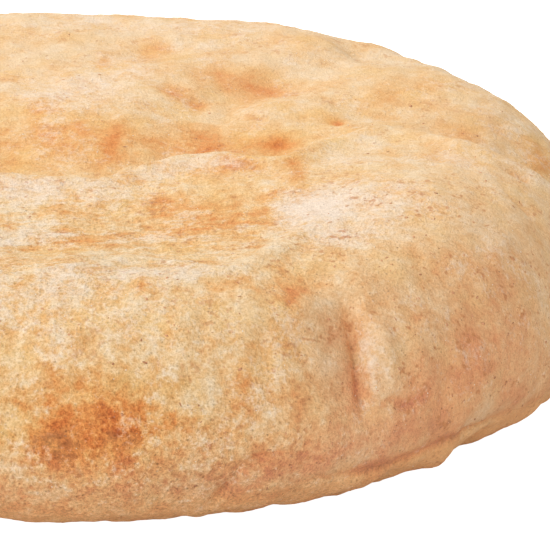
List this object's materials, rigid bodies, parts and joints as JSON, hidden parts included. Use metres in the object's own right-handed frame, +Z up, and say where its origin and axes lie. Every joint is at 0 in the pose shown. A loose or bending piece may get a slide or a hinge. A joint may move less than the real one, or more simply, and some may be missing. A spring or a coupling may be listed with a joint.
{
  "type": "pita bread",
  "caption": "Whole round pita bread, puffed and solid, with a soft rounded rim, a long crest across its top, side folds and a flat underside to rest on.",
  "frame": {"origin": "middle of the bread's footprint, on its flat underside", "axes": "+Z up out of the top crust; the folded side faces -Y, and the crest across the top runs along X"},
  "size_m": [0.1574, 0.16, 0.0356],
  "materials": {
    "baked_crust": "matt baked crust, floury, with browned patches and fine bran flecks"
  },
  "bodies": {
    "root": {"pita_bread": "baked_crust"}
  },
  "joints": []
}
